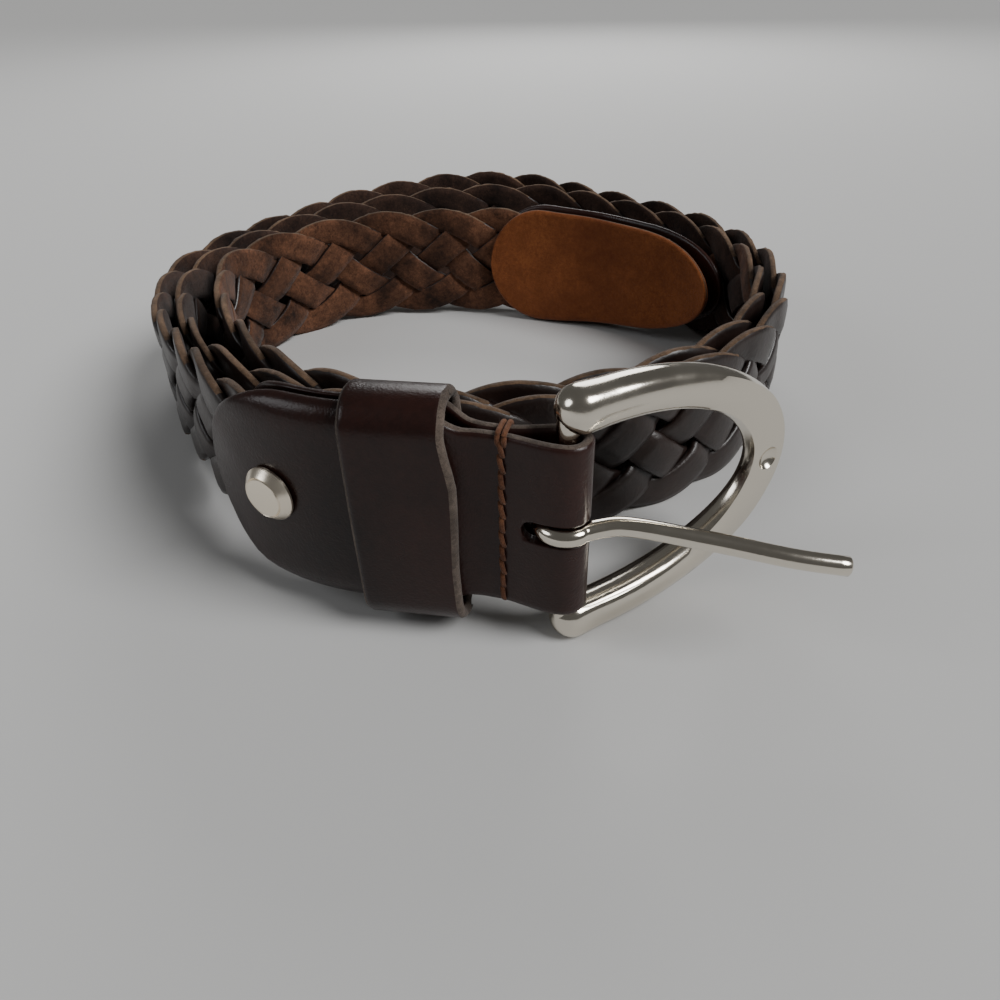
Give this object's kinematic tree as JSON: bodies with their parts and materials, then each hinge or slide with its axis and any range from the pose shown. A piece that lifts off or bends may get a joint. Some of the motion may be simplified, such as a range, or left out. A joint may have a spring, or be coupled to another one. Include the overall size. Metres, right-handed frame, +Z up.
{
  "type": "braided leather belt",
  "caption": "Braided leather belt coiled in nested turns on its edge, with a round-ended leather tab, keeper loop, horseshoe buckle and prong, and a leather tip on the free end.",
  "frame": {"origin": "on the surface that the belt stands on, under the middle of its whole length and breadth", "axes": "+Z up across the belt's width, -Y towards the buckle's side of the coil, +X to the right seen from there"},
  "size_m": [0.1486, 0.1952, 0.0452],
  "materials": {
    "braid_leather": "dark brown leather thongs with brown flesh side",
    "smooth_leather": "dark brown smooth leather, satin",
    "suede": "tan suede, matte",
    "nickel": "polished warm nickel"
  },
  "bodies": {
    "root": {"braided_strap": "braid_leather", "leather_tab": "smooth_leather", "keeper_loop": "smooth_leather", "rivet": "nickel", "tip_inner_piece": "suede", "tip_outer_piece": "smooth_leather"},
    "bow": {"buckle_frame": "nickel"},
    "prong": {"prong": "nickel"}
  },
  "joints": [
    {"name": "frame_swivel", "type": "hinge", "parent": "root", "child": "bow", "pos_m": [0.01552, -0.08799, 0.0227], "axis": [0, 0, 1], "range_deg": [-70, 21]},
    {"name": "prong_swing", "type": "hinge", "parent": "bow", "child": "prong", "pos_m": [0.01552, -0.08799, 0.0227], "axis": [0, 0, 1], "range_deg": [-65, 35]}
  ]
}
